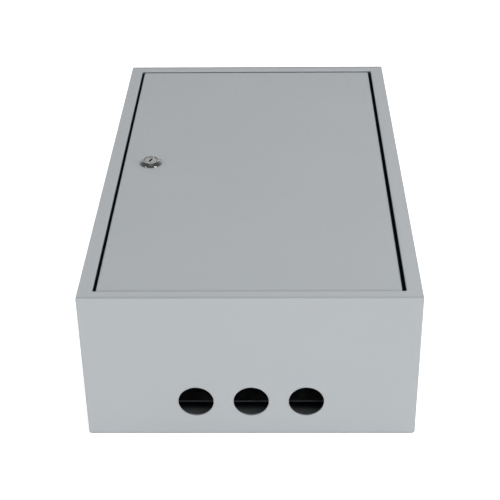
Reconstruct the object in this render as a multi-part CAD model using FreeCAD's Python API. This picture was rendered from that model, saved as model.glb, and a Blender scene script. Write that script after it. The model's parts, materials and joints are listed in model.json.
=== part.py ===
"""Wall-mounted sheet-steel meter and distribution enclosure, 300 x 500 x 150 mm.

Frame: the origin is the centre of the back face.  +Z points out of the wall through the door,
+Y points up the wall and +X points right, as seen from the front.  All lengths are millimetres.
"""
import FreeCAD, Part
import math
import os

V = FreeCAD.Vector

# Enclosure
WIDTH = 300.0
HEIGHT = 500.0
DEPTH = 150.0
SHEET = 1.2
BACK_BEND_R = 3.0
FRONT_BEND_R = 1.2
WELD_FLANGE = 9.8
TAB_DEPTH = 8.5
TAB_CLEARANCE = 12.0

# Cable entries in the bottom wall and the fixing holes in the back
CABLE_HOLE_R = 16.0
CABLE_HOLE_PITCH = 50.0
CABLE_HOLE_Z = 37.2
WALL_HOLE_R = 4.0
WALL_HOLE_X = 130.0
WALL_HOLE_Y = 225.0

# Front frame: a flat ring with a return wall, a ledge and an upturned lip around the opening
FRAME_LEFT = 13.1
FRAME_RIGHT = 14.1
FRAME_TOP = 13.3
FRAME_BOTTOM = 11.5
FRAME_EDGE_R = 1.0
PLATE_OUTER_R = 0.9
PLATE_INNER_R = 0.25
WELD_SEAM = 0.5
OPENING_R = 1.6
LEDGE_TOP = 133.0
LIP_TOP = 143.5
LIP_LEFT = -122.5
LIP_RIGHT = 112.0
LIP_TOP_Y = 222.0
LIP_BOTTOM_Y = -224.5

# Door pan
DOOR_RECESS = 1.0
DOOR_LEFT = -134.3
DOOR_RIGHT = 132.5
DOOR_TOP = 235.2
DOOR_BOTTOM = -236.9
DOOR_EDGE_R = 1.5
DOOR_CORNER_R = 1.8
DOOR_FOLD = 12.0
DOOR_FRONT = DEPTH - DOOR_RECESS
DOOR_BACK = DOOR_FRONT - SHEET

# Door seal, a foam strip stuck to the door, pressed by the lip
SEAL_WIDTH = 7.0
SEAL_THICK = 4.0

# Hidden pin hinges
PIVOT_X = 126.05
PIVOT_Z = 143.0
HINGE_Y = 195.0
BRACKET_TOP = 143.4
PIN_R = 2.5
PIN_LENGTH = 34.0
PIN_HEAD_R = 3.6
PIN_HEAD = 1.6
KNUCKLE_R = 4.0
KNUCKLE_LENGTH = 21.6
RUNNING_GAP = 0.05
LUG_THICK = 2.5
LUG_OFFSET = 12.5
HINGE_PLATE = 2.0

# Cam lock
LOCK_X = -106.8
LOCK_Y = 2.5
BARREL_R = 9.0
BARREL_FLAT = 8.0
BARREL_BACK = 133.4
LOCK_HOLE_GAP = 0.15
LOCK_WASHER_R = 11.3
LOCK_WASHER_PLAY = 0.1
LOCK_NUT_HALF_FLATS = 11.0
LOCK_NUT_THICK = 4.0
BEZEL_R = 11.6
BEZEL_TOP_R = 8.9
BEZEL_RIM = 0.6
BEZEL_HEIGHT = 3.8
PLUG_R = 6.5
PLUG_FRONT = 152.4
COLLAR_R = 8.0
COLLAR_GAP = 0.2
KEYWAY_LENGTH = 7.4
KEYWAY_WIDTH = 2.0
KEYWAY_DEPTH = 9.0
KEYWAY_TILT = -18.0
CAM_FRONT = 131.3
CAM_THICK = 2.0
CAM_REACH = 23.0
CAM_HALF_WIDTH = 6.5
CAM_CORNER_R = 2.5
CAM_EYE_R = 7.5
SHANK_HALF = 3.0
CAM_SCREW_R = 1.9
CAM_SCREW_HEAD_R = 3.8
CAM_SCREW_HEAD = 2.4
CAM_SCREW_GRIP = 5.0
CAM_SCREW_HOLE = 6.0

# Mounting plate on four welded studs
PLATE_HALF_WIDTH = 115.0
PLATE_HALF_HEIGHT = 217.0
PLATE_BACK = 10.5
PLATE_FRONT = 12.0
PLATE_CORNER_R = 5.0
STUD_R = 3.0
STUD_END = 22.0
STUD_X = 100.0
STUD_Y = 200.0
STUD_HOLE_R = 3.3
SPACER_R = 6.0
WASHER_THICK = 1.2
WASHER_R = 6.0
NUT_HALF_FLATS = 5.0
NUT_THICK = 5.0

# Top-hat rails, 35 x 7.5 mm
RAIL_LENGTH = 210.0
RAIL_HALF_WIDTH = 17.5
RAIL_HALF_WEB = 13.5
RAIL_HEIGHT = 7.5
RAIL_SHEET = 1.0
RAIL_Y = {"upper_din_rail": 75.0, "lower_din_rail": -65.0}
RAIL_SLOT_PITCH = 25.0
RAIL_SLOT_LENGTH = 15.0
RAIL_SLOT_R = 2.8
RAIL_SLOTS = 8
RAIL_SCREW_X = 87.5
RAIL_SCREW_R = 2.5
RAIL_SCREW_HEAD_R = 4.4
RAIL_SCREW_HEAD = 2.8

# Neutral and earth terminal bars
BAR_Y = -155.0
BAR_CENTRE_X = {"neutral": -56.0, "earth": 56.0}
BAR_LENGTH = 92.0
BAR_HALF_WIDTH = 4.0
BAR_BOTTOM = 24.0
BAR_TOP = 32.0
BAR_WAYS = 8
BAR_WAY_PITCH = 7.5
WIRE_HOLE_R = 2.2
TERMINAL_R = 2.0
TERMINAL_HEAD_R = 3.0
TERMINAL_HEAD = 2.2
TERMINAL_LIFT = 1.0
TERMINAL_DIP = 0.5
SUPPORT_OFFSET = 39.0
SUPPORT_HALF_WIDTH = 5.0
SUPPORT_EAR = 2.5
SUPPORT_EAR_TOP = 29.0
FOOT_HEIGHT = 3.5
FOOT_REACH = 10.0
FOOT_SCREW_R = 2.0
FOOT_SCREW_HEAD_R = 3.6
FOOT_SCREW_HEAD = 2.4

# Earth studs on the back wall and on the door
BODY_EARTH = (-131.0, -165.0)
DOOR_EARTH = (-104.0, -195.0)
BODY_STUD_LENGTH = 18.0
DOOR_STUD_LENGTH = 14.0

# Driver slots, and how far the plate's screws stick out behind it
SLOT_DEPTH = 1.0
SLOT_WIDTH = 1.0
SCREW_STICKOUT = 1.5

# How far a cutting solid runs past the face that it opens
PAST = 1.0


def block(x0, x1, y0, y1, z0, z1):
    """Box between two corners."""
    return Part.makeBox(x1 - x0, y1 - y0, z1 - z0, V(x0, y0, z0))


def cylinder(radius, x, y, z0, z1):
    """Cylinder along Z."""
    return Part.makeCylinder(radius, z1 - z0, V(x, y, z0))


def cylinder_y(radius, x, z, y0, y1):
    """Cylinder along Y."""
    return Part.makeCylinder(radius, y1 - y0, V(x, y0, z), V(0, 1, 0))


def hexagon(half_flats, x, y, z0, z1):
    """Hexagonal prism along Z with two flats facing -X and +X."""
    corner_r = half_flats / math.cos(math.pi / 6)
    angles = [math.pi / 6 + i * math.pi / 3 for i in range(6)]
    points = [V(x + corner_r * math.cos(a), y + corner_r * math.sin(a), z0) for a in angles]
    face = Part.Face(Part.makePolygon(points + points[:1]))
    return face.extrude(V(0, 0, z1 - z0))


def slot_prism(x, y, length, radius, z0, z1):
    """Round-ended prism, long along X."""
    reach = length / 2 - radius
    middle = block(x - reach, x + reach, y - radius, y + radius, z0, z1)
    return middle.fuse([cylinder(radius, x + side * reach, y, z0, z1) for side in (-1, 1)]).removeSplitter()


def rounded(shape, radius, wanted):
    """Fillet the edges whose two ends and middle all satisfy a test."""
    def chosen(edge):
        middle = edge.valueAt((edge.FirstParameter + edge.LastParameter) / 2)
        return all(wanted(p) for p in [middle] + [v.Point for v in edge.Vertexes])

    return shape.makeFillet(radius, [e for e in shape.Edges if chosen(e)])


def near(value, target):
    """Whether a coordinate is at a place, within a hundredth of a millimetre."""
    return abs(value - target) < 0.01


def inset(rect, amount):
    """Shrink a rectangle given as (x0, x1, y0, y1)."""
    x0, x1, y0, y1 = rect
    return (x0 + amount, x1 - amount, y0 + amount, y1 - amount)


def upright_rounded(rect, radius, z0, z1):
    """Block over a rectangle with its four upright edges rounded."""
    solid = block(*rect, z0, z1)
    edges = [e for e in solid.Edges if near(e.Vertexes[0].X, e.Vertexes[1].X)
             and near(e.Vertexes[0].Y, e.Vertexes[1].Y)]
    return solid.makeFillet(radius, edges)


def ring(outer, inner, z0, z1, outer_r=OPENING_R, inner_r=OPENING_R):
    """Rectangular ring with rounded corners."""
    hole = upright_rounded(inner, inner_r, z0 - PAST, z1 + PAST)
    return upright_rounded(outer, outer_r, z0, z1).cut(hole)


def group(shapes):
    """Identical separate solids kept as one node."""
    return Part.makeCompound(shapes)


OUTER = (-WIDTH / 2, WIDTH / 2, -HEIGHT / 2, HEIGHT / 2)
OPENING = (OUTER[0] + FRAME_LEFT, OUTER[1] - FRAME_RIGHT, OUTER[2] + FRAME_BOTTOM, OUTER[3] - FRAME_TOP)
LIP = (LIP_LEFT, LIP_RIGHT, LIP_BOTTOM_Y, LIP_TOP_Y)
DOOR = (DOOR_LEFT, DOOR_RIGHT, DOOR_BOTTOM, DOOR_TOP)
FRAME_BACK = DEPTH - SHEET
INNER_X = WIDTH / 2 - SHEET
INNER_Y = HEIGHT / 2 - SHEET


def body_shell():
    """Back wall and both side walls in one bent sheet, with flanges for the frame."""
    outer = block(-WIDTH / 2, WIDTH / 2, -INNER_Y, INNER_Y, 0, FRAME_BACK)
    outer = rounded(outer, BACK_BEND_R, lambda p: near(p.z, 0) and near(abs(p.x), WIDTH / 2))
    outer = rounded(outer, FRONT_BEND_R, lambda p: near(p.z, FRAME_BACK) and near(abs(p.x), WIDTH / 2))
    hollow = block(-INNER_X, INNER_X, -HEIGHT, HEIGHT, SHEET, FRAME_BACK - SHEET)
    hollow = rounded(hollow, BACK_BEND_R - SHEET, lambda p: near(p.z, SHEET))
    mouth_x = INNER_X - WELD_FLANGE
    mouth = block(-mouth_x, mouth_x, -HEIGHT, HEIGHT, FRAME_BACK - 2 * SHEET, DEPTH)
    holes = [cylinder(WALL_HOLE_R, sx * WALL_HOLE_X, sy * WALL_HOLE_Y, -PAST, SHEET + PAST)
             for sx in (-1, 1) for sy in (-1, 1)]
    return outer.cut([hollow, mouth] + holes)


def end_wall(side):
    """Flat end wall with weld tabs inside the shell; side is -1 for the bottom, 1 for the top."""
    face_y = side * HEIGHT / 2
    inner_y = side * INNER_Y
    tab_y = side * (INNER_Y - TAB_DEPTH)

    def span(a, b):
        return (min(a, b), max(a, b))

    plate = block(-WIDTH / 2, WIDTH / 2, *span(face_y, inner_y), 0, DEPTH)
    plate = rounded(plate, BACK_BEND_R, lambda p: near(p.z, 0) and near(abs(p.x), WIDTH / 2))
    plate = rounded(plate, FRAME_EDGE_R, lambda p: near(p.z, DEPTH) and near(abs(p.x), WIDTH / 2))
    plate = rounded(plate, PLATE_OUTER_R, lambda p: near(p.z, DEPTH) and near(p.y, face_y))
    plate = rounded(plate, PLATE_INNER_R, lambda p: near(p.z, DEPTH) and near(p.y, inner_y))
    flange_x = INNER_X - WELD_FLANGE - WELD_SEAM
    parts = [block(-flange_x, flange_x, *span(inner_y, tab_y), FRAME_BACK - SHEET, FRAME_BACK)]
    parts.append(block(-flange_x, flange_x, *span(inner_y, tab_y), SHEET, 2 * SHEET))
    for sx in (-1, 1):
        x_span = span(sx * INNER_X, sx * (INNER_X - SHEET))
        parts.append(block(*x_span, *span(inner_y, tab_y), TAB_CLEARANCE, FRAME_BACK - TAB_CLEARANCE))
    return plate.fuse(parts).removeSplitter()


def bottom_wall():
    """End wall with the three cable entries."""
    wall = end_wall(-1)
    holes = [cylinder_y(CABLE_HOLE_R, i * CABLE_HOLE_PITCH, CABLE_HOLE_Z, -HEIGHT, PAST - INNER_Y)
             for i in (-1, 0, 1)]
    return wall.cut(holes)


def front_frame():
    """Flat front ring between the end walls, with a folded return, a ledge and an upturned lip."""
    end_y = INNER_Y - WELD_SEAM
    face = block(OUTER[0], OUTER[1], -end_y, end_y, FRAME_BACK, DEPTH)
    face = face.cut(upright_rounded(OPENING, OPENING_R, 0, DEPTH + PAST))
    wall = inset(OPENING, -SHEET)
    return_wall = ring(wall, OPENING, LEDGE_TOP - SHEET, DEPTH, OPENING_R + SHEET, OPENING_R)
    ledge = ring(wall, LIP, LEDGE_TOP - SHEET, LEDGE_TOP, OPENING_R + SHEET, OPENING_R)
    lip = ring(LIP, inset(LIP, SHEET), LEDGE_TOP - SHEET, LIP_TOP, OPENING_R + SHEET, OPENING_R)
    frame = face.fuse([return_wall, ledge, lip]).removeSplitter()
    top_edges = [e for e in frame.Edges if near(e.BoundBox.ZMin, DEPTH) and near(e.BoundBox.ZMax, DEPTH)]
    return frame.makeFillet(FRAME_EDGE_R, top_edges)


def door_panel():
    """Door skin folded back on all four edges, with the double-D lock hole."""
    skin = upright_rounded(DOOR, DOOR_CORNER_R, DOOR_FRONT - DOOR_FOLD, DOOR_FRONT)
    front = [e for e in skin.Edges if near(e.BoundBox.ZMin, DOOR_FRONT)]
    skin = skin.makeFillet(DOOR_EDGE_R, front)
    hollow = upright_rounded(inset(DOOR, SHEET), DOOR_EDGE_R, 0, DOOR_BACK)
    return skin.cut([hollow, lock_barrel(LOCK_HOLE_GAP, DOOR_BACK - PAST, DOOR_FRONT + PAST)])


def door_seal():
    """Foam strip on the inside of the door, centred on the lip."""
    outer = inset(LIP, SHEET / 2 - SEAL_WIDTH / 2)
    return ring(outer, inset(outer, SEAL_WIDTH), DOOR_BACK - SEAL_THICK, DOOR_BACK)


def hinge_bracket(y):
    """Fixed bracket: a plate on the lip with two lugs that hold the pin."""
    plate = block(LIP_RIGHT, LIP_RIGHT + HINGE_PLATE, y - LUG_OFFSET - LUG_THICK / 2,
                  y + LUG_OFFSET + LUG_THICK / 2, LEDGE_TOP, BRACKET_TOP)
    lugs = []
    for side in (-1, 1):
        y0 = y + side * LUG_OFFSET - LUG_THICK / 2
        lugs.append(block(LIP_RIGHT, PIVOT_X, y0, y0 + LUG_THICK, PIVOT_Z - PIN_R, BRACKET_TOP))
        lugs.append(cylinder_y(KNUCKLE_R, PIVOT_X, PIVOT_Z, y0, y0 + LUG_THICK))
    solid = plate.fuse(lugs).removeSplitter()
    return solid.cut(cylinder_y(PIN_R, PIVOT_X, PIVOT_Z, y - PIN_LENGTH, y + PIN_LENGTH))


def hinge_leaf(y):
    """Moving leaf: a knuckle on a web and a foot welded to the back of the door."""
    y0 = y - KNUCKLE_LENGTH / 2
    y1 = y + KNUCKLE_LENGTH / 2
    knuckle = cylinder_y(KNUCKLE_R, PIVOT_X, PIVOT_Z, y0, y1)
    web = block(PIVOT_X - KNUCKLE_R, PIVOT_X + KNUCKLE_R, y0, y1, PIVOT_Z, DOOR_BACK)
    foot = block(PIVOT_X - 2 * KNUCKLE_R, PIVOT_X + KNUCKLE_R, y0, y1, DOOR_BACK - HINGE_PLATE, DOOR_BACK)
    bore = cylinder_y(PIN_R + RUNNING_GAP, PIVOT_X, PIVOT_Z, y0 - PAST, y1 + PAST)
    return knuckle.fuse([web, foot]).removeSplitter().cut(bore)


def hinge_pin(y):
    """Headed pin, pressed into the bracket from above."""
    lug_top = y + LUG_OFFSET + LUG_THICK / 2
    shank = cylinder_y(PIN_R, PIVOT_X, PIVOT_Z, lug_top - PIN_LENGTH, lug_top)
    head = cylinder_y(PIN_HEAD_R, PIVOT_X, PIVOT_Z, lug_top, lug_top + PIN_HEAD)
    return shank.fuse(head)


def lock_barrel(extra, z0, z1):
    """Round bar with two flats, on the lock's axis."""
    bar = cylinder(BARREL_R + extra, LOCK_X, LOCK_Y, z0, z1)
    half = BARREL_FLAT + extra
    return bar.common(block(LOCK_X - 2 * half, LOCK_X + 2 * half, LOCK_Y - half, LOCK_Y + half, z0, z1))


def lock_housing():
    """Threaded barrel with two flats and a conical bezel in front of the door."""
    bezel_top = DOOR_FRONT + BEZEL_HEIGHT
    cone_base = DOOR_FRONT + BEZEL_RIM
    rim = cylinder(BEZEL_R, LOCK_X, LOCK_Y, DOOR_FRONT, cone_base)
    cone = Part.makeCone(BEZEL_R, BEZEL_TOP_R, BEZEL_HEIGHT - BEZEL_RIM, V(LOCK_X, LOCK_Y, cone_base))
    solid = lock_barrel(0, BARREL_BACK, DOOR_FRONT).fuse([rim, cone])
    return solid.cut(cylinder(PLUG_R + RUNNING_GAP, LOCK_X, LOCK_Y, 0, bezel_top + PAST))


def lock_washer():
    """Flat washer between the door and the lock nut."""
    disc = cylinder(LOCK_WASHER_R, LOCK_X, LOCK_Y, DOOR_BACK - WASHER_THICK, DOOR_BACK)
    return disc.cut(cylinder(BARREL_R + LOCK_WASHER_PLAY, LOCK_X, LOCK_Y, 0, DEPTH))


def lock_nut():
    """Thin hexagonal nut on the barrel."""
    nut_front = DOOR_BACK - WASHER_THICK
    nut = hexagon(LOCK_NUT_HALF_FLATS, LOCK_X, LOCK_Y, nut_front - LOCK_NUT_THICK, nut_front)
    return nut.cut(cylinder(BARREL_R, LOCK_X, LOCK_Y, 0, DEPTH))


def lock_plug():
    """Turning plug with its keyway, retaining collar and square shank."""
    collar_top = BARREL_BACK - COLLAR_GAP
    plug = cylinder(PLUG_R, LOCK_X, LOCK_Y, CAM_FRONT, PLUG_FRONT)
    collar = cylinder(COLLAR_R, LOCK_X, LOCK_Y, CAM_FRONT, collar_top)
    shank = block(LOCK_X - SHANK_HALF, LOCK_X + SHANK_HALF, LOCK_Y - SHANK_HALF, LOCK_Y + SHANK_HALF,
                  CAM_FRONT - CAM_THICK, CAM_FRONT)
    keyway = slot_prism(LOCK_X, LOCK_Y, KEYWAY_LENGTH, KEYWAY_WIDTH / 2, PLUG_FRONT - KEYWAY_DEPTH,
                        PLUG_FRONT + PAST)
    keyway.rotate(V(LOCK_X, LOCK_Y, 0), V(0, 0, 1), 90 + KEYWAY_TILT)
    screw_hole = cylinder(CAM_SCREW_R, LOCK_X, LOCK_Y, 0, CAM_FRONT + CAM_SCREW_HOLE)
    return plug.fuse([collar, shank]).removeSplitter().cut([keyway, screw_hole])


def lock_cam():
    """Flat tongue on the square shank, pointing up when the door is free to open."""
    z0 = CAM_FRONT - CAM_THICK
    eye = cylinder(CAM_EYE_R, LOCK_X, LOCK_Y, z0, CAM_FRONT)
    tongue_rect = (LOCK_X - CAM_HALF_WIDTH, LOCK_X + CAM_HALF_WIDTH, LOCK_Y, LOCK_Y + CAM_REACH)
    tongue = upright_rounded(tongue_rect, CAM_CORNER_R, z0, CAM_FRONT)
    square = block(LOCK_X - SHANK_HALF, LOCK_X + SHANK_HALF, LOCK_Y - SHANK_HALF, LOCK_Y + SHANK_HALF,
                   0, DEPTH)
    return eye.fuse(tongue).removeSplitter().cut(square)


def slotted_head(radius, x, y, z0, z1):
    """Screw head with a straight driver slot in its upper face."""
    head = cylinder(radius, x, y, z0, z1)
    slot = block(x - radius, x + radius, y - SLOT_WIDTH / 2, y + SLOT_WIDTH / 2, z1 - SLOT_DEPTH, z1 + PAST)
    return head.cut(slot)


def screw(radius, head_r, x, y, shank_bottom, seat, head_top):
    """Slotted screw driven towards the wall."""
    return cylinder(radius, x, y, shank_bottom, seat).fuse(slotted_head(head_r, x, y, seat, head_top))


def cam_screw():
    """Screw that holds the cam, its slotted head facing the wall."""
    seat = CAM_FRONT - CAM_THICK
    head_end = seat - CAM_SCREW_HEAD
    head = cylinder(CAM_SCREW_HEAD_R, LOCK_X, LOCK_Y, head_end, seat)
    slot = block(LOCK_X - CAM_SCREW_HEAD_R, LOCK_X + CAM_SCREW_HEAD_R, LOCK_Y - SLOT_WIDTH / 2,
                 LOCK_Y + SLOT_WIDTH / 2, 0, head_end + SLOT_DEPTH)
    return head.cut(slot).fuse(cylinder(CAM_SCREW_R, LOCK_X, LOCK_Y, seat, CAM_FRONT + CAM_SCREW_GRIP))


STUD_PLACES = [(sx * STUD_X, sy * STUD_Y) for sx in (-1, 1) for sy in (-1, 1)]
RAIL_SCREW_PLACES = [(sx * RAIL_SCREW_X, y) for y in RAIL_Y.values() for sx in (-1, 1)]


def washer(x, y, z0):
    """Flat washer on an M6 stud."""
    return cylinder(WASHER_R, x, y, z0, z0 + WASHER_THICK).cut(cylinder(STUD_R, x, y, 0, DEPTH))


def nut(x, y, z0):
    """Hexagonal nut with chamfered corners."""
    body = hexagon(NUT_HALF_FLATS, x, y, z0, z0 + NUT_THICK)
    bevel = Part.makeCone(NUT_HALF_FLATS + NUT_THICK, NUT_HALF_FLATS, NUT_THICK, V(x, y, z0))
    return body.common(bevel).cut(cylinder(STUD_R, x, y, 0, DEPTH))


def foot_screw_places():
    """Centres of the four terminal-bar support feet."""
    return [(centre + side * SUPPORT_OFFSET, BAR_Y - BAR_HALF_WIDTH - SUPPORT_EAR - FOOT_REACH / 2)
            for centre in BAR_CENTRE_X.values() for side in (-1, 1)]


def mounting_plate():
    """Loose plate carrying the rails and terminal bars."""
    rect = (-PLATE_HALF_WIDTH, PLATE_HALF_WIDTH, -PLATE_HALF_HEIGHT, PLATE_HALF_HEIGHT)
    plate = upright_rounded(rect, PLATE_CORNER_R, PLATE_BACK, PLATE_FRONT)
    holes = [cylinder(STUD_HOLE_R, x, y, 0, DEPTH) for x, y in STUD_PLACES]
    holes += [cylinder(RAIL_SCREW_R, x, y, 0, DEPTH) for x, y in RAIL_SCREW_PLACES]
    holes += [cylinder(FOOT_SCREW_R, x, y, 0, DEPTH) for x, y in foot_screw_places()]
    return plate.cut(holes)


def din_rail(y):
    """Slotted top-hat rail lying along X."""
    half = RAIL_LENGTH / 2
    top = PLATE_FRONT + RAIL_HEIGHT
    solid = block(-half, half, y - RAIL_HALF_WEB, y + RAIL_HALF_WEB, PLATE_FRONT, PLATE_FRONT + RAIL_SHEET)
    for side in (-1, 1):
        wall = sorted((y + side * RAIL_HALF_WEB, y + side * (RAIL_HALF_WEB - RAIL_SHEET)))
        brim = sorted((y + side * RAIL_HALF_WIDTH, y + side * (RAIL_HALF_WEB - RAIL_SHEET)))
        solid = solid.fuse([block(-half, half, *wall, PLATE_FRONT, top),
                            block(-half, half, *brim, top - RAIL_SHEET, top)])
    first = -(RAIL_SLOTS - 1) / 2 * RAIL_SLOT_PITCH
    slots = [slot_prism(first + i * RAIL_SLOT_PITCH, y, RAIL_SLOT_LENGTH, RAIL_SLOT_R, 0, DEPTH)
             for i in range(RAIL_SLOTS)]
    return solid.removeSplitter().cut(slots)


def terminal_places(centre):
    """X of each wire hole along a bar."""
    first = centre - (BAR_WAYS - 1) / 2 * BAR_WAY_PITCH
    return [first + i * BAR_WAY_PITCH for i in range(BAR_WAYS)]


def terminal_bar(centre):
    """Brass bar with wire holes across it and a clamping screw above each."""
    bar = block(centre - BAR_LENGTH / 2, centre + BAR_LENGTH / 2, BAR_Y - BAR_HALF_WIDTH,
                BAR_Y + BAR_HALF_WIDTH, BAR_BOTTOM, BAR_TOP)
    cuts = []
    for x in terminal_places(centre):
        wire_z = (BAR_BOTTOM + BAR_TOP) / 2
        cuts.append(cylinder_y(WIRE_HOLE_R, x, wire_z, BAR_Y - BAR_HALF_WIDTH - PAST,
                               BAR_Y + BAR_HALF_WIDTH + PAST))
        cuts.append(cylinder(TERMINAL_R, x, BAR_Y, wire_z, BAR_TOP + PAST))
    return bar.cut(cuts)


def terminal_screws(centre):
    """Clamping screws, backed off above the wire holes."""
    tip = (BAR_BOTTOM + BAR_TOP) / 2 + WIRE_HOLE_R - TERMINAL_DIP
    seat = BAR_TOP + TERMINAL_LIFT
    return group([screw(TERMINAL_R, TERMINAL_HEAD_R, x, BAR_Y, tip, seat, seat + TERMINAL_HEAD)
                  for x in terminal_places(centre)])


def bar_supports(centre):
    """Two insulating blocks with a cradle for the bar and a screwed foot."""
    supports = []
    half_depth = BAR_HALF_WIDTH + SUPPORT_EAR
    for side in (-1, 1):
        x = centre + side * SUPPORT_OFFSET
        x0 = x - SUPPORT_HALF_WIDTH
        x1 = x + SUPPORT_HALF_WIDTH
        pillar = block(x0, x1, BAR_Y - half_depth, BAR_Y + half_depth, PLATE_FRONT, SUPPORT_EAR_TOP)
        cradle = block(x0, x1, BAR_Y - BAR_HALF_WIDTH, BAR_Y + BAR_HALF_WIDTH, BAR_BOTTOM, DEPTH)
        foot_y = BAR_Y - half_depth
        foot = block(x0, x1, foot_y - FOOT_REACH, foot_y, PLATE_FRONT, PLATE_FRONT + FOOT_HEIGHT)
        hole = cylinder(FOOT_SCREW_R, x, foot_y - FOOT_REACH / 2, 0, DEPTH)
        supports.append(pillar.fuse(foot).removeSplitter().cut([cradle, hole]))
    return group(supports)


def rail_screws():
    """Two screws through each rail into the mounting plate."""
    seat = PLATE_FRONT + RAIL_SHEET
    return group([screw(RAIL_SCREW_R, RAIL_SCREW_HEAD_R, x, y, PLATE_BACK - SCREW_STICKOUT,
                        seat, seat + RAIL_SCREW_HEAD) for x, y in RAIL_SCREW_PLACES])


def support_screws():
    """One screw through the foot of each terminal-bar support."""
    seat = PLATE_FRONT + FOOT_HEIGHT
    return group([screw(FOOT_SCREW_R, FOOT_SCREW_HEAD_R, x, y, PLATE_BACK - SCREW_STICKOUT,
                        seat, seat + FOOT_SCREW_HEAD) for x, y in foot_screw_places()])


def plate_spacers():
    """Sleeves on the studs that hold the mounting plate off the back wall."""
    return group([cylinder(SPACER_R, x, y, SHEET, PLATE_BACK).cut(cylinder(STUD_HOLE_R, x, y, 0, DEPTH))
                  for x, y in STUD_PLACES])


NODES = {
    "body_shell": body_shell(),
    "bottom_wall": bottom_wall(),
    "top_wall": end_wall(1),
    "front_frame": front_frame(),
    "mounting_plate": mounting_plate(),
    "plate_studs": group([cylinder(STUD_R, x, y, SHEET, STUD_END) for x, y in STUD_PLACES]),
    "plate_spacers": plate_spacers(),
    "plate_washers": group([washer(x, y, PLATE_FRONT) for x, y in STUD_PLACES]),
    "plate_nuts": group([nut(x, y, PLATE_FRONT + WASHER_THICK) for x, y in STUD_PLACES]),
    "rail_screws": rail_screws(),
    "support_screws": support_screws(),
    "body_earth_stud": cylinder(STUD_R, *BODY_EARTH, SHEET, SHEET + BODY_STUD_LENGTH),
    "body_earth_washer": washer(*BODY_EARTH, SHEET),
    "body_earth_nut": nut(*BODY_EARTH, SHEET + WASHER_THICK),
    "door_panel": door_panel(),
    "door_seal": door_seal(),
    "door_earth_stud": cylinder(STUD_R, *DOOR_EARTH, DOOR_BACK - DOOR_STUD_LENGTH, DOOR_BACK),
    "door_earth_washer": washer(*DOOR_EARTH, DOOR_BACK - WASHER_THICK),
    "door_earth_nut": nut(*DOOR_EARTH, DOOR_BACK - WASHER_THICK - NUT_THICK),
    "lock_housing": lock_housing(),
    "lock_washer": lock_washer(),
    "lock_nut": lock_nut(),
    "lock_plug": lock_plug(),
    "lock_cam": lock_cam(),
    "cam_screw": cam_screw(),
}
for rail_name, rail_y in RAIL_Y.items():
    NODES[rail_name] = din_rail(rail_y)
for bar_name, bar_centre in BAR_CENTRE_X.items():
    NODES[bar_name + "_bar"] = terminal_bar(bar_centre)
    NODES[bar_name + "_bar_supports"] = bar_supports(bar_centre)
    NODES[bar_name + "_bar_screws"] = terminal_screws(bar_centre)
for hinge_name, hinge_y in (("upper", HINGE_Y), ("lower", -HINGE_Y)):
    NODES[hinge_name + "_hinge_bracket"] = hinge_bracket(hinge_y)
    NODES[hinge_name + "_hinge_leaf"] = hinge_leaf(hinge_y)
    NODES[hinge_name + "_hinge_pin"] = hinge_pin(hinge_y)

os.makedirs("parts", exist_ok=True)
for node, shape in NODES.items():
    if not shape.isValid():
        raise ValueError(node + " is not a valid shape")
    shape.exportStep(os.path.join("parts", node + ".step"))
    print(node, len(shape.Solids), round(shape.Volume, 1))
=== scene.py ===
"""Looks of a wall-mounted sheet-steel meter enclosure, lying on its back on a pale floor.

The frame is the CAD model's: +Z out of the wall through the door, +Y up the wall, +X right.
Lengths are in metres, except in the outlines and sections, which are in millimetres as noted.
"""

import json
import math

import bpy
import bmesh
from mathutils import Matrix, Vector


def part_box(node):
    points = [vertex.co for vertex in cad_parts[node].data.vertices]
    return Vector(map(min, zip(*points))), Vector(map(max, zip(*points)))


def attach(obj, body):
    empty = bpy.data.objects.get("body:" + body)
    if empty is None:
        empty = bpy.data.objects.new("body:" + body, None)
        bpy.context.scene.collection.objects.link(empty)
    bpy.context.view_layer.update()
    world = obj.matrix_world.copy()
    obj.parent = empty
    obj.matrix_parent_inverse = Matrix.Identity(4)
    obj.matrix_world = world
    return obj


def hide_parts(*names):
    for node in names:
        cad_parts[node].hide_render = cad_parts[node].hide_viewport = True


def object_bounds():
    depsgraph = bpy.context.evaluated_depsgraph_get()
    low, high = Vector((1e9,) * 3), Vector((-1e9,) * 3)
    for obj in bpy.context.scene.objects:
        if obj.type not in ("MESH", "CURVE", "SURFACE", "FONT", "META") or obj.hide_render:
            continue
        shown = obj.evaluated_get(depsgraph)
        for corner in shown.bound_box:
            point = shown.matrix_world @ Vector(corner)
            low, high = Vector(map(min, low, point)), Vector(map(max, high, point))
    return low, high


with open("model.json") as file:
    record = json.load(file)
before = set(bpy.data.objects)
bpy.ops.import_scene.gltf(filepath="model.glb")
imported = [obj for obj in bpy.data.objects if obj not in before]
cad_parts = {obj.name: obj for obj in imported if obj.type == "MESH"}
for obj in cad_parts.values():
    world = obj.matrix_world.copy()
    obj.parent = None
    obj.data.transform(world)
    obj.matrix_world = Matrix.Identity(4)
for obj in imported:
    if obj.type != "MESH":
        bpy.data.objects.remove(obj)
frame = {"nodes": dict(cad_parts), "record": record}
cad_low, cad_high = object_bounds()

MM = 0.001
NODES = frame["nodes"]


# ---------------------------------------------------------------- colours and reaches

PAINT = (0.295, 0.312, 0.325)
# The body is the same paint as the door, made 3 percent lighter as painted light on its faces.
BODY_PAINTED_LIGHT = 1.03
# The body's edges darkened as painted shade, for the dark line along the front bend.
BODY_EDGE_PAINTED_SHADE = 0.78
# The door's edges lightened as a painted highlight on its rolled edges.
DOOR_EDGE_PAINTED_HIGHLIGHT = 1.07
SPECK_SHARE = 0.35

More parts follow.
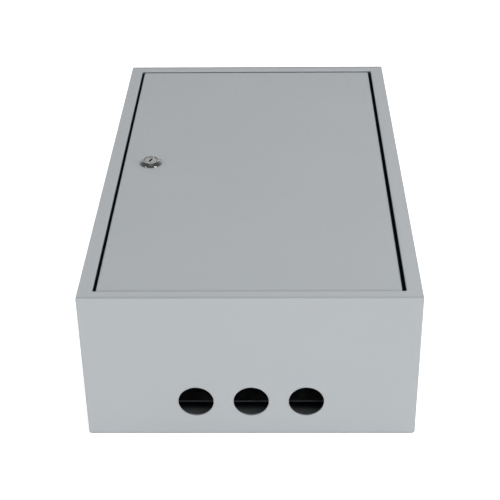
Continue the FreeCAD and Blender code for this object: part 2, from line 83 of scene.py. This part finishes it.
EDGE_REACH = 1.6 * MM
EDGE_STOPS = [(0.88, 1.0), (0.985, 0.0)]
# Creases and welded seams darkened as painted shade, judged by occlusion.
CREASE_REACH = 2.5 * MM
CREASE_STOPS = [(0.25, 0.0), (0.75, 1.0)]
CREASE_PAINTED_SHADE = 0.55
# Deep recesses, the door gaps and the inside of the box among them, darkened to a bluish near-black as
# painted shade.
RECESS_REACH = 40 * MM
RECESS_STOPS = [(0.26, 0.0), (0.50, 1.0)]
RECESS_PAINTED_SHADE = (0.008, 0.014, 0.022)
# Narrow recesses in bright metal, such as the keyway, darkened as painted shade.
PIT_REACH = 3 * MM
PIT_STOPS = [(0.40, 0.0), (0.78, 1.0)]
PIT_PAINTED_SHADE = 0.03

ZINC_COLOUR = (0.60, 0.61, 0.62)
GALVANISED_COLOUR = (0.33, 0.35, 0.37)
SPANGLE_DULLING = 0.25
# The galvanised sheet's sheared edges: bare steel, painted much brighter as a highlight.
SHEARED_EDGE_HIGHLIGHT_COLOUR = (0.80, 0.86, 0.92)
NICKEL_COLOUR = (0.50, 0.51, 0.52)
BRASS_COLOUR = (0.72, 0.56, 0.28)
DRAWN_ALONG_X = (0.08, 1.0, 1.0)
BLUE_COLOUR = (0.03, 0.13, 0.42)
GREEN_COLOUR = (0.04, 0.26, 0.08)
FOAM_COLOUR = (0.022, 0.022, 0.025)


# ---------------------------------------------------------------- node helpers

# Sockets of a colour Mix node, whose names repeat, by index.
MIX_FACTOR = 0
MIX_FIRST = 6
MIX_SECOND = 7
MIX_RESULT = 2


def node_material(name, **inputs):
    """A Principled material; returns it with its node tree and shader."""
    material = bpy.data.materials.new(name)
    material.use_nodes = True
    tree = material.node_tree
    shader = tree.nodes["Principled BSDF"]
    for key, value in inputs.items():
        shader.inputs[key.replace("_", " ")].default_value = value
    return material, tree, shader


def add(tree, kind, **settings):
    """Add a node; settings name its properties or, with a leading in_, its inputs."""
    node = tree.nodes.new(kind)
    for key, value in settings.items():
        if key.startswith("in_"):
            node.inputs[key[3:].replace("_", " ")].default_value = value
        else:
            setattr(node, key, value)
    return node


def object_noise(tree, scale, detail=2.0, roughness=0.5, stretch=(1.0, 1.0, 1.0)):
    """Noise in object space, optionally stretched; returns its factor socket."""
    coords = add(tree, "ShaderNodeTexCoord")
    mapping = add(tree, "ShaderNodeMapping")
    mapping.inputs["Scale"].default_value = stretch
    noise = add(tree, "ShaderNodeTexNoise", in_Scale=scale, in_Detail=detail, in_Roughness=roughness)
    tree.links.new(coords.outputs["Object"], mapping.inputs["Vector"])
    tree.links.new(mapping.outputs["Vector"], noise.inputs["Vector"])
    return noise.outputs["Fac"]


def object_cells(tree, scale):
    """Voronoi cells in object space; returns the node."""
    coords = add(tree, "ShaderNodeTexCoord")
    cells = add(tree, "ShaderNodeTexVoronoi", in_Scale=scale, in_Randomness=1.0)
    tree.links.new(coords.outputs["Object"], cells.inputs["Vector"])
    return cells


def ramp(tree, factor, stops):
    """Colour ramp driven by a factor; stops are (place, colour or grey)."""
    node = add(tree, "ShaderNodeValToRGB")
    elements = node.color_ramp.elements
    while len(elements) < len(stops):
        elements.new(0.5)
    for element, (place, colour) in zip(elements, stops):
        element.position = place
        element.color = (*colour, 1.0) if isinstance(colour, tuple) else (colour, colour, colour, 1.0)
    tree.links.new(factor, node.inputs["Fac"])
    return node.outputs["Color"]


def shade(colour, amount):
    """A colour made darker or lighter."""
    return tuple(min(1.0, c * amount) for c in colour)


def tones(tree, factor, colour, darkest, lightest, start=0.3, end=0.7):
    """A colour that varies between two shades of itself with a factor."""
    return ramp(tree, factor, [(start, shade(colour, darkest)), (end, shade(colour, lightest))])


def uneven_gloss(tree, shader, factor, smoothest, roughest, start=0.3, end=0.7):
    """Roughness that varies between two values with a factor."""
    roughness = ramp(tree, factor, [(start, smoothest), (end, roughest)])
    tree.links.new(roughness, shader.inputs["Roughness"])


def mixed(tree, factor, first, second, mode="MIX"):
    """Mix of two colours, each a socket or an RGB tuple."""
    node = add(tree, "ShaderNodeMix", data_type="RGBA", blend_type=mode)
    for index, value in ((MIX_FACTOR, factor), (MIX_FIRST, first), (MIX_SECOND, second)):
        socket = node.inputs[index]
        if isinstance(value, bpy.types.NodeSocket):
            tree.links.new(value, socket)
        elif isinstance(value, tuple):
            socket.default_value = (*value, 1.0)
        else:
            socket.default_value = value
    return node.outputs[MIX_RESULT]


def bump(tree, shader, height, strength, distance, under=None):
    """Bump a shader from a height socket, on top of an earlier bump if one is given."""
    node = add(tree, "ShaderNodeBump", in_Strength=strength, in_Distance=distance)
    tree.links.new(height, node.inputs["Height"])
    if under is not None:
        tree.links.new(under, node.inputs["Normal"])
    tree.links.new(node.outputs["Normal"], shader.inputs["Normal"])
    return node.outputs["Normal"]


def edge_mask(tree, radius):
    """White along edges: where the surface turns within a radius of the shaded point."""
    rounded = add(tree, "ShaderNodeBevel", samples=6, in_Radius=radius)
    geometry = add(tree, "ShaderNodeNewGeometry")
    alike = add(tree, "ShaderNodeVectorMath", operation="DOT_PRODUCT")
    tree.links.new(rounded.outputs["Normal"], alike.inputs[0])
    tree.links.new(geometry.outputs["Normal"], alike.inputs[1])
    return ramp(tree, alike.outputs["Value"], EDGE_STOPS)


def openness(tree, reach, stops):
    """Black in recesses and white in the open, judged over a distance."""
    node = add(tree, "ShaderNodeAmbientOcclusion", samples=8, in_Distance=reach)
    return ramp(tree, node.outputs["AO"], stops)


# ---------------------------------------------------------------- materials

def powder_coat(name, colour, painted_edge_light):
    """Sprayed and baked paint: orange-peel skin, faint cloudiness, and painted light along the edges.

    Deep narrow recesses, the door gaps among them, get a dark bluish painted shade from an occlusion mask,
    and creases and the seams between welded sheets a darker line of painted shade.
    """
    material, tree, shader = node_material(name, Specular_IOR_Level=0.45)
    clouds = tones(tree, object_noise(tree, scale=9.0, detail=3.0), colour, 0.985, 1.015)
    dust = object_noise(tree, scale=2600.0, detail=1.0)
    specks = tones(tree, dust, colour, 0.95, 1.05, start=0.25, end=0.75)
    skin = mixed(tree, SPECK_SHARE, clouds, specks)
    # Along the edges the paint is darkened as painted shade where the factor is below one, and lightened
    # as a painted highlight where it is above.
    edges_with_painted_light = mixed(tree, edge_mask(tree, EDGE_REACH), skin, shade(colour, painted_edge_light))
    # Painted shade in creases and along the welded seams.
    crease = openness(tree, CREASE_REACH, CREASE_STOPS)
    crease_shaded = mixed(tree, crease, shade(colour, CREASE_PAINTED_SHADE), edges_with_painted_light)
    # Painted shade in deep recesses, judged by occlusion.
    recess = openness(tree, RECESS_REACH, RECESS_STOPS)
    tree.links.new(mixed(tree, recess, RECESS_PAINTED_SHADE, crease_shaded), shader.inputs["Base Color"])
    uneven_gloss(tree, shader, object_noise(tree, scale=420.0), 0.40, 0.50)
    peel = object_noise(tree, scale=620.0, roughness=0.4)
    peeled = bump(tree, shader, peel, strength=0.10, distance=0.3 * MM)
    waves = object_noise(tree, scale=14.0)
    bump(tree, shader, waves, strength=0.05, distance=1.2 * MM, under=peeled)
    return material


def plated_steel(name, colour, roughness, grain=(1.0, 1.0, 1.0)):
    """Bright metal with a fine grain, a faint warm and cool cast and painted shade in narrow recesses."""
    material, tree, shader = node_material(name, Metallic=1.0)
    red, green, blue = colour
    warm = (red * 1.03, green, blue * 0.94)
    cool = (red * 0.95, green, blue * 1.04)
    cast = ramp(tree, object_noise(tree, scale=120.0), [(0.35, warm), (0.65, cool)])
    # Painted shade in the metal's narrow recesses, judged by occlusion.
    open_metal = openness(tree, PIT_REACH, PIT_STOPS)
    tree.links.new(mixed(tree, open_metal, shade(colour, PIT_PAINTED_SHADE), cast), shader.inputs["Base Color"])
    polish = object_noise(tree, scale=900.0, detail=3.0, roughness=0.6, stretch=grain)
    uneven_gloss(tree, shader, polish, roughness * 0.8, roughness * 1.3)
    scratches = object_noise(tree, scale=1500.0, roughness=0.6, stretch=grain)
    bump(tree, shader, scratches, strength=0.15, distance=0.05 * MM)
    return material


def galvanised_sheet(name, colour, edge_highlight_colour):
    """Zinc spangle: angular crystals that differ a little in tone and gloss, and sheared edges of bare
    steel painted bright as a highlight.
    """
    material, tree, shader = node_material(name, Metallic=1.0)
    crystals = object_cells(tree, scale=130.0).outputs["Color"]
    crystal_tones = tones(tree, crystals, colour, 0.82, 1.12, start=0.1, end=0.9)
    spangle = mixed(tree, SPANGLE_DULLING, crystal_tones, shade(colour, 0.9))
    # Sheared edges of bare steel, painted bright as a highlight.
    edges_with_painted_light = mixed(tree, edge_mask(tree, EDGE_REACH), spangle, edge_highlight_colour)
    tree.links.new(edges_with_painted_light, shader.inputs["Base Color"])
    uneven_gloss(tree, shader, crystals, 0.34, 0.52, start=0.1, end=0.9)
    bump(tree, shader, object_noise(tree, scale=500.0, detail=3.0), strength=0.08, distance=0.1 * MM)
    return material


def moulded_plastic(name, colour):
    """Polyamide with a fine spark-eroded texture."""
    material, tree, shader = node_material(name, Specular_IOR_Level=0.5)
    flow = tones(tree, object_noise(tree, scale=60.0), colour, 0.9, 1.1)
    tree.links.new(flow, shader.inputs["Base Color"])
    uneven_gloss(tree, shader, object_noise(tree, scale=800.0), 0.42, 0.58)
    bump(tree, shader, object_noise(tree, scale=3200.0, detail=1.0), strength=0.2, distance=0.06 * MM)
    return material


def foam_rubber(name, colour):
    """Closed-cell foam: a matt skin pitted with small cells."""
    material, tree, shader = node_material(name, Roughness=0.9, Specular_IOR_Level=0.25)
    cells = object_cells(tree, scale=1400.0).outputs["Distance"]
    # Darker towards each cell's middle, where the bump sinks: painted shade in the pits.
    pit_shaded = tones(tree, cells, colour, 0.5, 1.4, start=0.0, end=0.5)
    tree.links.new(pit_shaded, shader.inputs["Base Color"])
    bump(tree, shader, cells, strength=0.5, distance=0.2 * MM)
    return material


# The body's paint is the door's made lighter as painted light, with painted shade along its edges; the
# door's paint has a painted highlight along its edges.
BODY_PAINT = powder_coat("body_paint", shade(PAINT, BODY_PAINTED_LIGHT), BODY_EDGE_PAINTED_SHADE)
DOOR_PAINT = powder_coat("door_paint", PAINT, DOOR_EDGE_PAINTED_HIGHLIGHT)
ZINC = plated_steel("zinc_steel", ZINC_COLOUR, roughness=0.30)
GALVANISED = galvanised_sheet("galvanised", GALVANISED_COLOUR, SHEARED_EDGE_HIGHLIGHT_COLOUR)
NICKEL = plated_steel("nickel", NICKEL_COLOUR, roughness=0.17)
BRASS = plated_steel("brass", BRASS_COLOUR, roughness=0.32, grain=DRAWN_ALONG_X)
BLUE = moulded_plastic("blue_plastic", BLUE_COLOUR)
GREEN = moulded_plastic("green_plastic", GREEN_COLOUR)
FOAM = foam_rubber("seal_foam", FOAM_COLOUR)

# The material of each slot of the record, and the width in millimetres of its softened edges.
SLOT_MATERIAL = {
    "body_paint": BODY_PAINT, "door_paint": DOOR_PAINT, "zinc_steel": ZINC, "galvanised": GALVANISED,
    "chrome_lock": NICKEL, "brass": BRASS, "blue_plastic": BLUE, "green_plastic": GREEN, "seal_foam": FOAM,
}
EDGE_WIDTH = {
    "body_paint": 0.25, "door_paint": 0.25, "zinc_steel": 0.15, "galvanised": 0.6, "chrome_lock": 0.35,
    "brass": 0.3, "blue_plastic": 0.6, "green_plastic": 0.6,
}


# ---------------------------------------------------------------- mesh helpers

SOFT_EDGE_ANGLE = 35.0
SOFT_EDGE_SEGMENTS = 2
LARGE_FACES_WIN = 100
ON_AXIS = 1e-6


def finish_mesh(name, bm, material):
    """Turn a bmesh into a smooth-shaded object with its material."""
    bmesh.ops.recalc_face_normals(bm, faces=bm.faces)
    mesh = bpy.data.meshes.new(name)
    bm.to_mesh(mesh)
    bm.free()
    for polygon in mesh.polygons:
        polygon.use_smooth = True
    mesh.materials.append(material)
    piece = bpy.data.objects.new(name, mesh)
    bpy.context.collection.objects.link(piece)
    return piece


def soften(piece, width_mm):
    """Small bevel on the sharp edges, with normals kept flat on the faces."""
    bevel = piece.modifiers.new("edges", "BEVEL")
    bevel.width = width_mm * MM
    bevel.segments = SOFT_EDGE_SEGMENTS
    bevel.limit_method = "ANGLE"
    bevel.angle_limit = math.radians(SOFT_EDGE_ANGLE)
    bevel.use_clamp_overlap = True
    normals = piece.modifiers.new("flat faces", "WEIGHTED_NORMAL")
    normals.keep_sharp = True
    normals.weight = LARGE_FACES_WIN


def set_material(piece, material):
    """Make a material the only one of a CAD node."""
    piece.data.materials.clear()
    piece.data.materials.append(material)


def carry_over(node, material, width_mm):
    """Give a CAD node its material and softened edges."""
    piece = NODES[node]
    set_material(piece, material)
    for polygon in piece.data.polygons:
        polygon.use_smooth = True
    soften(piece, width_mm)


def lathe(name, material, profile, centre, segments):
    """Solid of revolution about a vertical line through a centre in metres.

    The profile is a closed outline of (radius, height) points in millimetres. A point on the line
    makes a row of one vertex, and the faces beside it are triangles.
    """
    bm = bmesh.new()
    rows = []
    for radius, height in profile:
        if radius < ON_AXIS:
            rows.append([bm.verts.new(centre + Vector((0.0, 0.0, height)) * MM)])
            continue
        row = []
        for i in range(segments):
            angle = 2 * math.pi * i / segments
            point = Vector((radius * math.cos(angle), radius * math.sin(angle), height))
            row.append(bm.verts.new(centre + point * MM))
        rows.append(row)
    for first, second in zip(rows, rows[1:] + rows[:1]):
        for i in range(segments):
            j = (i + 1) % segments
            corners = [first[i % len(first)], first[j % len(first)]]
            corners += [second[j % len(second)], second[i % len(second)]]
            corners = list(dict.fromkeys(corners))
            if len(corners) > 2:
                bm.faces.new(corners)
    return finish_mesh(name, bm, material)


def joined(name, pieces):
    """Merge several pieces into one object."""
    bm = bmesh.new()
    for piece in pieces:
        bm.from_mesh(piece.data)
    mesh = bpy.data.meshes.new(name)
    bm.to_mesh(mesh)
    bm.free()
    mesh.materials.append(pieces[0].data.materials[0])
    whole = bpy.data.objects.new(name, mesh)
    bpy.context.collection.objects.link(whole)
    for piece in pieces:
        bpy.data.objects.remove(piece)
    return whole


def break_shading(piece, angle):
    """Smooth shading that breaks at edges sharper than an angle in degrees."""
    limit = math.radians(angle)
    bm = bmesh.new()
    bm.from_mesh(piece.data)
    for edge in bm.edges:
        if len(edge.link_faces) == 2 and edge.calc_face_angle(0.0) > limit:
            edge.smooth = False
    bm.to_mesh(piece.data)
    bm.free()


def node_span_mm(node):
    """Lowest and highest corner of a CAD node in millimetres."""
    low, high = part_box(node)
    return [v / MM for v in low], [v / MM for v in high]


def stand_for(piece, node, body):
    """Let a detailed piece take a CAD node's place: attach it to a body and hide the node."""
    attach(piece, body)
    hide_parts(node)


# ---------------------------------------------------------------- CAD nodes

for part in frame["record"]["subparts"]:
    slot_name = part["material_slot"]
    if slot_name in EDGE_WIDTH:
        carry_over(part["node"], SLOT_MATERIAL[slot_name], EDGE_WIDTH[slot_name])
    else:
        set_material(NODES[part["node"]], SLOT_MATERIAL[slot_name])


# ---------------------------------------------------------------- threaded studs, millimetres

STUD_R = 3.0
STUD_PITCH = 1.0
STUD_THREAD = 0.45
STUD_CHAMFER = 0.5
STUD_SEGMENTS = 32
STUD_BREAK = 60.0

# Points of one thread groove as (share of the pitch, share of the depth).
GROOVE = [(0.25, 0.0), (0.40, 0.0), (0.80, 1.0), (0.90, 1.0)]


def threaded_outline(z0, z1):
    """Closed outline of a stud whose flank is a row of thread grooves, from z0 up to z1."""
    points = [(0.0, z0), (STUD_R - STUD_CHAMFER, z0)]
    turns = int((z1 - z0 - 2 * STUD_CHAMFER) / STUD_PITCH)
    for i in range(turns):
        base = z0 + STUD_CHAMFER + i * STUD_PITCH
        points += [(STUD_R - STUD_THREAD * deep, base + along * STUD_PITCH) for along, deep in GROOVE]
    return points + [(STUD_R - STUD_CHAMFER, z1), (0.0, z1)]


def stud(name, x, y, z0, z1):
    """Threaded stud along Z."""
    centre = Vector((x, y, 0.0)) * MM
    return lathe(name, ZINC, threaded_outline(z0, z1), centre, STUD_SEGMENTS)


def make_studs():
    """The mounting plate's four studs as one piece, and an earth stud on the body and the door."""
    low, high = node_span_mm("plate_studs")
    columns = (low[0] + STUD_R, high[0] - STUD_R)
    rows = (low[1] + STUD_R, high[1] - STUD_R)
    studs = [stud("plate_stud_part", x, y, low[2], high[2]) for x in columns for y in rows]
    whole = joined("plate_studs_threaded", studs)
    break_shading(whole, STUD_BREAK)
    stand_for(whole, "plate_studs", "enclosure")
    for node, body in (("body_earth_stud", "enclosure"), ("door_earth_stud", "door")):
        low, high = node_span_mm(node)
        single = stud(node + "_threaded", (low[0] + high[0]) / 2, (low[1] + high[1]) / 2, low[2], high[2])
        break_shading(single, STUD_BREAK)
        stand_for(single, node, body)


# ---------------------------------------------------------------- cam lock, millimetres

BEZEL_RADIUS = 11.6
BEZEL_FOOT_STEP = 0.2
BEZEL_RIM = 0.5
BEZEL_ROLL = 1.3
BEZEL_TOP_RADIUS = 8.9
BEZEL_SHOULDER = 0.8
BEZEL_SHOULDER_OFFSET = 0.75
BEZEL_LIP = 0.3

PLUG_RADIUS = 6.5
PLUG_CLEARANCE = 0.05
RING_GROOVE_WIDTH = 0.5
RING_GROOVE_DEPTH = 0.9

BARREL_RADIUS = 9.0
BARREL_CHAMFER = 0.6
BARREL_PITCH = 1.0
BARREL_THREAD = 0.5
BARREL_RUNOUT = 1.5
BARREL_NECK = 1.2
FIRST_ROOT = 0.4
CREST_START = 0.45
CREST_END = 0.6

LOCK_SEGMENTS = 96
LOCK_BREAK = 50.0


def arc_points(centre_r, centre_z, radius, start, end, count):
    """Points on an arc in the (radius, height) plane, angles in degrees."""
    points = []
    for i in range(count + 1):
        angle = math.radians(start + (end - start) * i / count)
        points.append((centre_r + radius * math.cos(angle), centre_z + radius * math.sin(angle)))
    return points


def barrel_outline(back, door_front):
    """Threaded flank of the barrel from its back end to the door's front face."""
    root = BARREL_RADIUS - BARREL_THREAD
    points = [(BARREL_RADIUS - BARREL_CHAMFER, back)]
    turns = int((door_front - BARREL_RUNOUT - back) / BARREL_PITCH)
    for i in range(turns):
        base = back + FIRST_ROOT + i * BARREL_PITCH
        points += [(root, base), (BARREL_RADIUS, base + CREST_START), (BARREL_RADIUS, base + CREST_END)]
    return points + [(root, door_front - BARREL_NECK), (root, door_front)]


def bezel_outline(door_front, top, bore):
    """Bezel from the door's front face over its rolled rim and shoulder to the groove round the plug."""
    points = [(BEZEL_RADIUS - BEZEL_FOOT_STEP, door_front)]
    roll_r, roll_z = BEZEL_RADIUS - BEZEL_ROLL, door_front + BEZEL_RIM
    points += arc_points(roll_r, roll_z, BEZEL_ROLL, start=-20, end=40, count=8)
    shoulder_r, shoulder_z = BEZEL_TOP_RADIUS - BEZEL_SHOULDER_OFFSET, top - BEZEL_SHOULDER
    points += arc_points(shoulder_r, shoulder_z, BEZEL_SHOULDER, start=35, end=90, count=6)
    ring = bore + RING_GROOVE_WIDTH
    points += arc_points(ring + BEZEL_LIP, top - BEZEL_LIP, BEZEL_LIP, start=90, end=180, count=5)
    return points + [(ring, top - RING_GROOVE_DEPTH), (bore, top - RING_GROOVE_DEPTH)]


def make_lock_housing():
    """Rolled conical bezel in front of the door and a threaded barrel behind it."""
    low, high = node_span_mm("lock_housing")
    centre = Vector(((low[0] + high[0]) / 2, (low[1] + high[1]) / 2, 0.0)) * MM
    door_front = node_span_mm("door_panel")[1][2]
    bore = PLUG_RADIUS + PLUG_CLEARANCE
    outline = [(bore, low[2])] + barrel_outline(low[2], door_front)
    outline += bezel_outline(door_front, high[2], bore)
    housing = lathe("lock_housing_detailed", NICKEL, outline, centre, LOCK_SEGMENTS)
    break_shading(housing, LOCK_BREAK)
    stand_for(housing, "lock_housing", "door")


# ---------------------------------------------------------------- door seal, millimetres

SEAL_WIDTH = 7.0
SEAL_BEND_R = 5.0
SEAL_BEND_STEPS = 8
SEAL_SHOULDER = 1.3
SEAL_CROWN_STEPS = 16
SEAL_SET = 0.35
SEAL_SET_SPREAD = 0.7
SEAL_JOINT = 0.4
SEAL_BREAK = 50.0
TOWARDS_FOOT = Vector((0.0, -1.0, 0.0))


def quarter_bend(centre_x, centre_y, start):
    """(position, outward direction) pairs round a bend, from a start angle in degrees."""
    pairs = []
    for i in range(SEAL_BEND_STEPS + 1):
        angle = math.radians(start + 90 * i / SEAL_BEND_STEPS)
        outward = Vector((math.cos(angle), math.sin(angle), 0.0))
        pairs.append((Vector((centre_x, centre_y, 0.0)) + outward * SEAL_BEND_R, outward))
    return pairs


def seal_path(low, high):
    """Centre line of the strip round the door as (position, outward) pairs, starting at the joint."""
    inset = SEAL_WIDTH / 2
    middle = (low[0] + high[0]) / 2
    foot = low[1] + inset
    left, right = low[0] + inset + SEAL_BEND_R, high[0] - inset - SEAL_BEND_R
    lower, upper = low[1] + inset + SEAL_BEND_R, high[1] - inset - SEAL_BEND_R
    path = [(Vector((middle + SEAL_JOINT / 2, foot, 0.0)), TOWARDS_FOOT)]
    for x, y, start in ((right, lower, -90), (right, upper, 0), (left, upper, 90), (left, lower, 180)):
        path += quarter_bend(x, y, start)
    path.append((Vector((middle - SEAL_JOINT / 2, foot, 0.0)), TOWARDS_FOOT))
    return path


def seal_profile(thick):
    """D-shaped section as (across, down) points, with the dent that the frame's lip leaves."""
    half = SEAL_WIDTH / 2
    points = [(-half, 0.0), (-half, SEAL_SHOULDER)]
    for i in range(1, SEAL_CROWN_STEPS):
        angle = math.pi * i / SEAL_CROWN_STEPS
        across = -half * math.cos(angle)
        dent = SEAL_SET * math.exp(-(across / SEAL_SET_SPREAD) ** 2)
        points.append((across, SEAL_SHOULDER + (thick - SEAL_SHOULDER) * math.sin(angle) - dent))
    return points + [(half, SEAL_SHOULDER), (half, 0.0)]


def make_seal():
    """Foam strip on the back of the door, bent round the corners and butted at the foot end."""
    low, high = node_span_mm("door_seal")
    profile = seal_profile(high[2] - low[2])
    bm = bmesh.new()
    rows = []
    for position, outward in seal_path(low, high):
        row = []
        for across, down in profile:
            point = position + outward * across + Vector((0.0, 0.0, high[2] - down))
            row.append(bm.verts.new(point * MM))
        rows.append(row)
    for first, second in zip(rows, rows[1:]):
        for i in range(len(profile)):
            j = (i + 1) % len(profile)
            bm.faces.new((first[i], first[j], second[j], second[i]))
    bm.faces.new(rows[0])
    bm.faces.new(rows[-1])
    seal = finish_mesh("door_seal_strip", bm, FOAM)
    break_shading(seal, SEAL_BREAK)
    stand_for(seal, "door_seal", "door")


make_studs()
make_lock_housing()
make_seal()


# ---------------------------------------------------------------- stage

FLOOR_HALF = 8.0
FLOOR_GLOW = 0.36
WHITE = (1.0, 1.0, 1.0)

# Brightness of the surroundings, as (place, grey): along Y, from the foot end's side (0) to the
# head end's side (1), and with height, from the horizon (0) to straight up (1).
WALL_STOPS = [(0.25, 0.09), (0.62, 0.13), (0.78, 0.28), (0.90, 0.60), (1.0, 0.66)]
CEILING_STOPS = [(0.83, 0.0), (0.95, 0.62)]

MIDDLE = (0.0, 0.0, 0.1)

# Soft lamps as (name, place, what it points at, (width, height), watts).
SOFTBOXES = [
    ("top_softbox", (0.55, -0.9, 2.5), MIDDLE, (2.4, 2.4), 65.0),
    ("front_softbox", (0.4, -2.6, 0.4), (0.0, -0.2, 0.05), (2.6, 0.7), 7.0),
    ("right_softbox", (2.4, -0.2, 0.7), MIDDLE, (0.9, 2.4), 31.0),
    ("left_softbox", (-2.4, 0.0, 0.7), MIDDLE, (0.9, 2.4), 29.0),
]

# Small lamps, in the same form, that show as highlights in the bright metal.
MIRRORED_LAMPS = [
    ("back_lamp", (0.5, 1.5, 1.5), MIDDLE, (0.25, 0.25), 1.5),
    ("low_right_lamp", (2.0, -1.9, 0.45), MIDDLE, (0.35, 0.35), 16.0),
    ("low_left_lamp", (-2.0, -1.9, 0.45), MIDDLE, (0.35, 0.35), 16.0),
]

CAMERA_PLACE = (0.02406, -1.11951, 0.73474)
CAMERA_TURN = (58.343, 0.480, 0.544)
CAMERA_SENSOR = 36.0
CAMERA_LENS = 87.91
CAMERA_SHIFT_X = -0.0244
CAMERA_NEAR = 0.01
CAMERA_FAR = 50.0


def make_floor():
    """Pale, very large, faintly mottled floor with a little glow of its own."""
    material, tree, shader = node_material("floor_paper", Roughness=0.9, Specular_IOR_Level=0.1)
    paper = ramp(tree, object_noise(tree, scale=3.0), [(0.3, 0.90), (0.7, 0.93)])
    tree.links.new(paper, shader.inputs["Base Color"])
    shader.inputs["Emission Color"].default_value = (*WHITE, 1.0)
    shader.inputs["Emission Strength"].default_value = FLOOR_GLOW
    bm = bmesh.new()
    signs = ((-1, -1), (1, -1), (1, 1), (-1, 1))
    bm.faces.new([bm.verts.new((sx * FLOOR_HALF, sy * FLOOR_HALF, 0.0)) for sx, sy in signs])
    floor = finish_mesh("floor", bm, material)
    floor.location.z = cad_low.z


def make_lamp(name, place, target, size, power, mirrored):
    """Rectangular area lamp; only a mirrored one shows in glossy surfaces."""
    light = bpy.data.lights.new(name, "AREA")
    light.shape = "RECTANGLE"
    light.size, light.size_y = size
    light.energy = power
    lamp = bpy.data.objects.new(name, light)
    lamp.location = place
    lamp.rotation_euler = (Vector(target) - Vector(place)).to_track_quat("-Z", "Y").to_euler()
    lamp.visible_glossy = mirrored
    bpy.context.collection.objects.link(lamp)


def make_world():
    """Bright wall behind the head end and bright ceiling, with a dark studio in front of the foot end.

    Seen directly the backdrop is plain white; the rest is for lighting and reflections.
    """
    world = bpy.data.worlds.new("studio")
    world.use_nodes = True
    tree = world.node_tree
    background = tree.nodes["Background"]
    coords = add(tree, "ShaderNodeTexCoord")
    axes = add(tree, "ShaderNodeSeparateXYZ")
    tree.links.new(coords.outputs["Generated"], axes.inputs["Vector"])
    along = add(tree, "ShaderNodeMapRange")
    along.inputs["From Min"].default_value = -1.0
    tree.links.new(axes.outputs["Y"], along.inputs["Value"])
    walls = ramp(tree, along.outputs["Result"], WALL_STOPS)
    ceiling = ramp(tree, axes.outputs["Z"], CEILING_STOPS)
    studio = mixed(tree, 1.0, walls, ceiling, "LIGHTEN")
    ray = add(tree, "ShaderNodeLightPath")
    seen = mixed(tree, ray.outputs["Is Camera Ray"], studio, WHITE)
    tree.links.new(seen, background.inputs["Color"])
    bpy.context.scene.world = world


def make_camera():
    """Camera raised 31.7 degrees above the bottom wall, almost square on."""
    data = bpy.data.cameras.new("camera")
    data.sensor_width = CAMERA_SENSOR
    data.lens = CAMERA_LENS
    data.shift_x = CAMERA_SHIFT_X
    data.clip_start = CAMERA_NEAR
    data.clip_end = CAMERA_FAR
    camera = bpy.data.objects.new("camera", data)
    camera.location = CAMERA_PLACE
    camera.rotation_euler = [math.radians(turn) for turn in CAMERA_TURN]
    bpy.context.collection.objects.link(camera)
    bpy.context.scene.camera = camera


make_floor()
make_world()
for softbox in SOFTBOXES:
    make_lamp(*softbox, mirrored=False)
for small_lamp in MIRRORED_LAMPS:
    make_lamp(*small_lamp, mirrored=True)
make_camera()

view = bpy.context.scene.view_settings
view.view_transform = "Standard"
view.look = "None"
view.exposure = 0.0
view.gamma = 1.0
